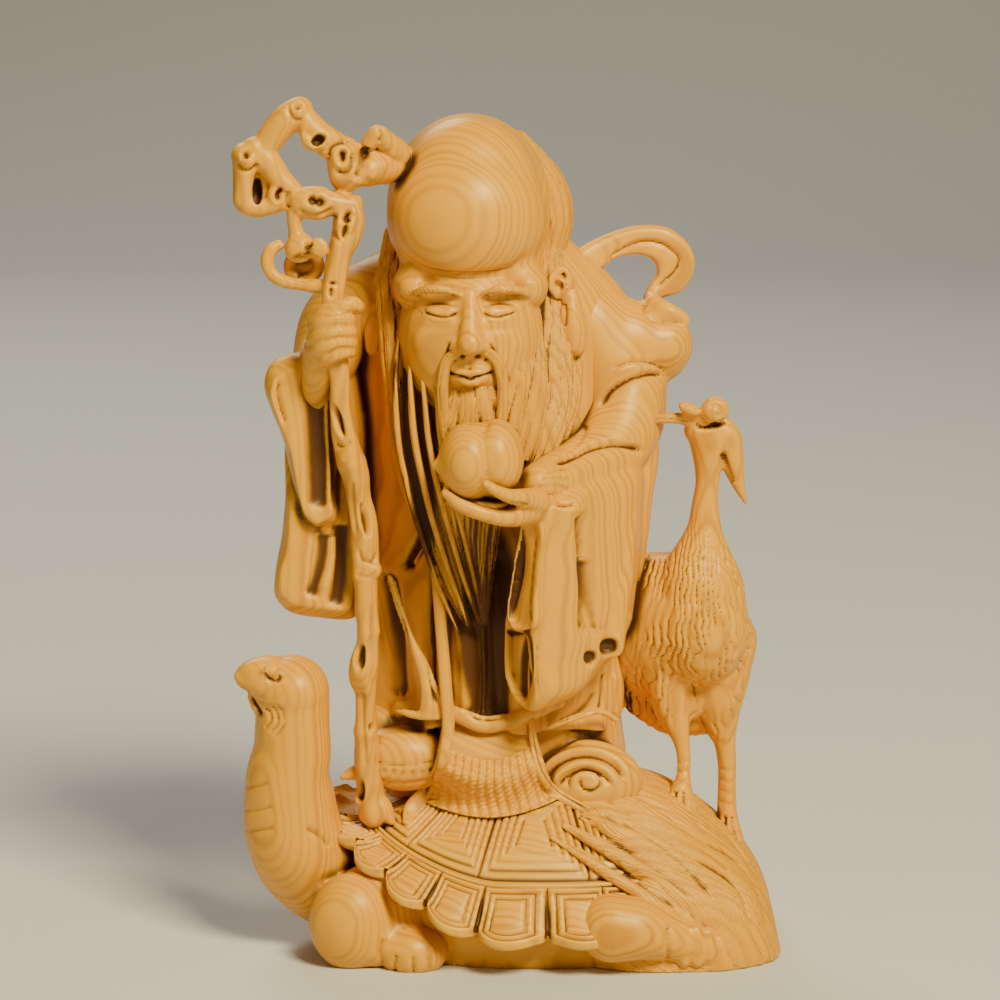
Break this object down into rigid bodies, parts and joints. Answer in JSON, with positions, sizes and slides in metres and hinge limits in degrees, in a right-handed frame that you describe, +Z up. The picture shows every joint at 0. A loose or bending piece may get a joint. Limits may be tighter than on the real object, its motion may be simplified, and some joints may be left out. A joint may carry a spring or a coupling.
{
  "type": "shou lao figure",
  "caption": "Carved boxwood figure of the long-life god on a turtle, with a root staff, a peach and a crane; stands free on its flat underside.",
  "frame": {"origin": "on the flat underside, below the middle of the carving", "axes": "+X towards the turtle's tail, -Y the way the figure faces, +Z up"},
  "size_m": [0.0959, 0.074, 0.1455],
  "materials": {
    "boxwood": "waxed and hand-polished, pale growth rings, warmer in the hollows"
  },
  "bodies": {
    "root": {"carving": "boxwood"}
  },
  "joints": []
}
